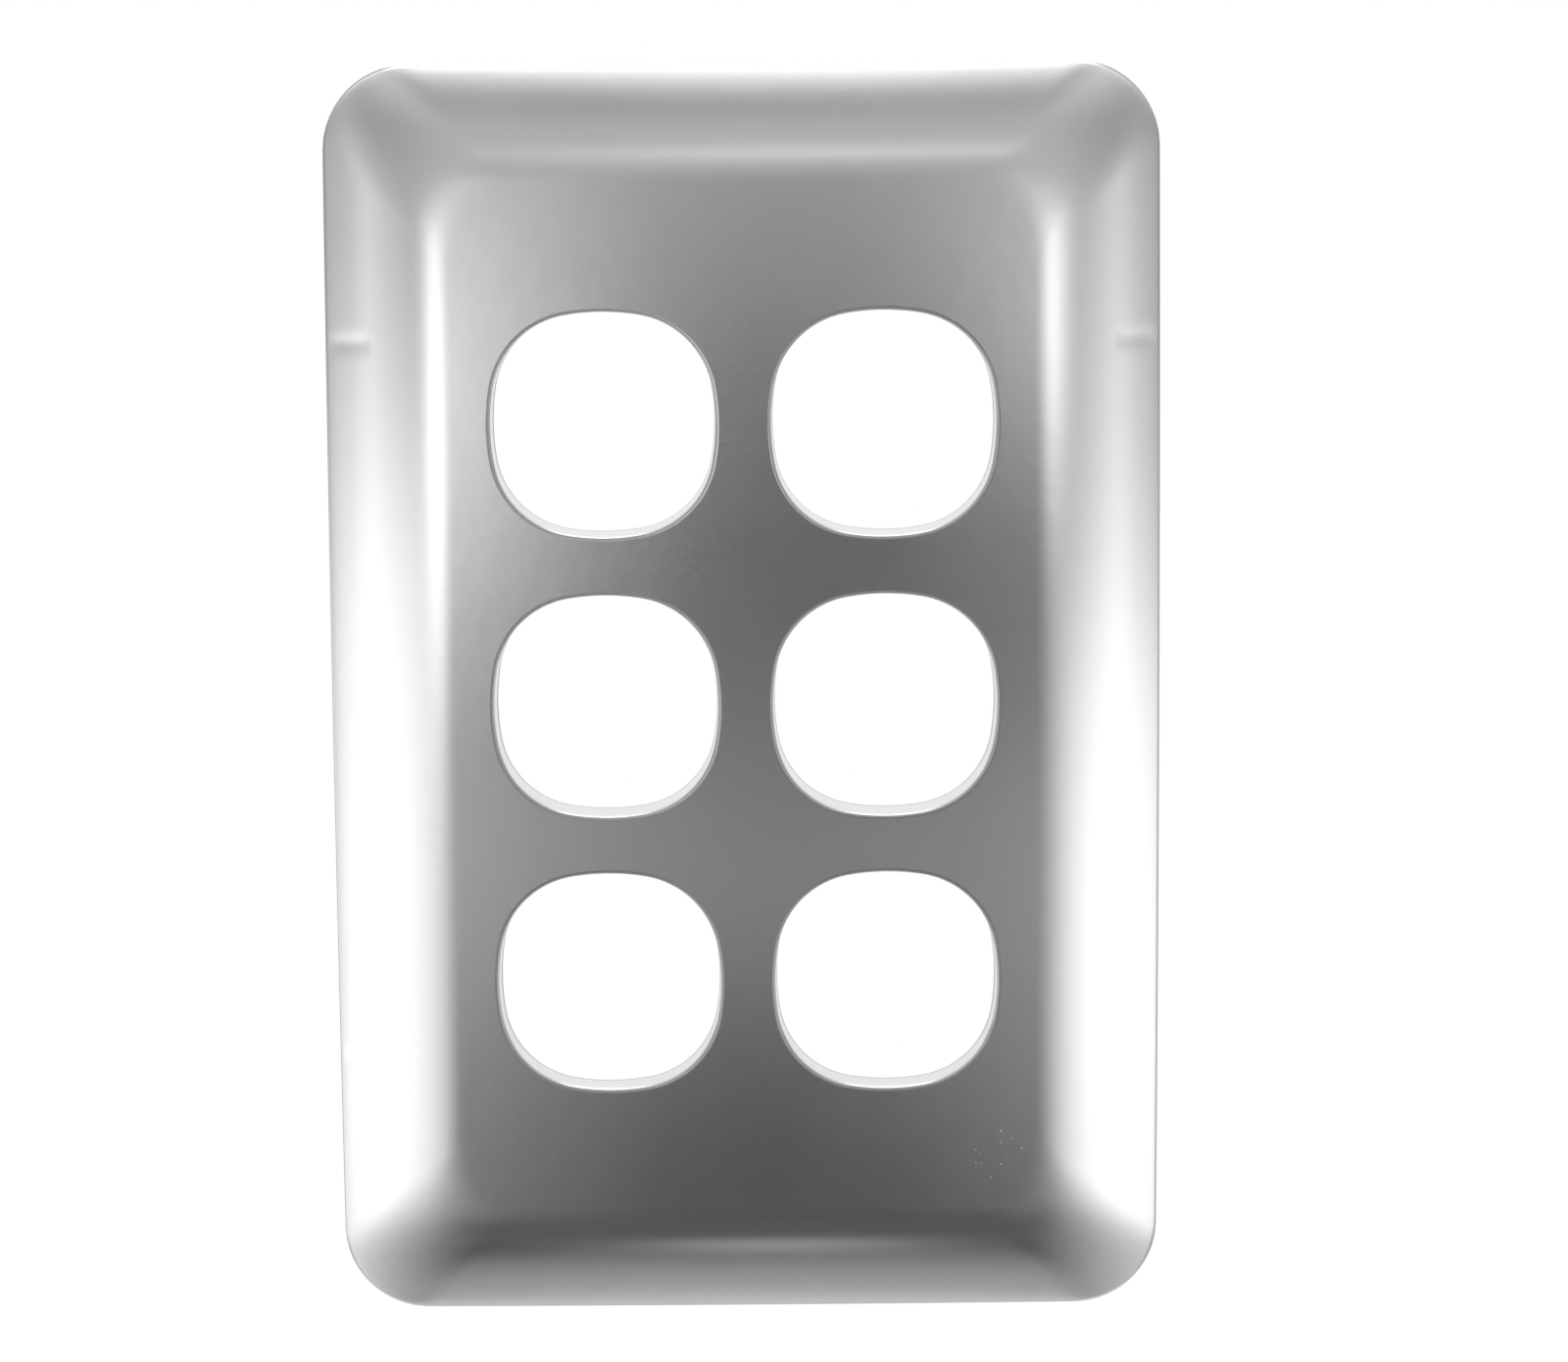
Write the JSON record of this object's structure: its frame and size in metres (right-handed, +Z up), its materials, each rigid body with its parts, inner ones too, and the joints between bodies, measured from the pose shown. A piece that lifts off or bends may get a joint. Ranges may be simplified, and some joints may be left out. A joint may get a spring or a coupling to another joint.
{
  "type": "switch cover plate",
  "caption": "Portrait wall plate of a light switch: a shallow bowed shell with a sloping border and rounded square openings that the rockers show through.",
  "frame": {"origin": "middle of the plate in the plane where its rim meets the wall", "axes": "+X to the right as seen from the front, +Y into the wall, +Z up the wall; the face looks along -Y"},
  "size_m": [0.076, 0.0076, 0.116],
  "materials": {
    "silver_plastic": "satin"
  },
  "bodies": {
    "root": {"cover_plate": "silver_plastic"}
  },
  "joints": []
}
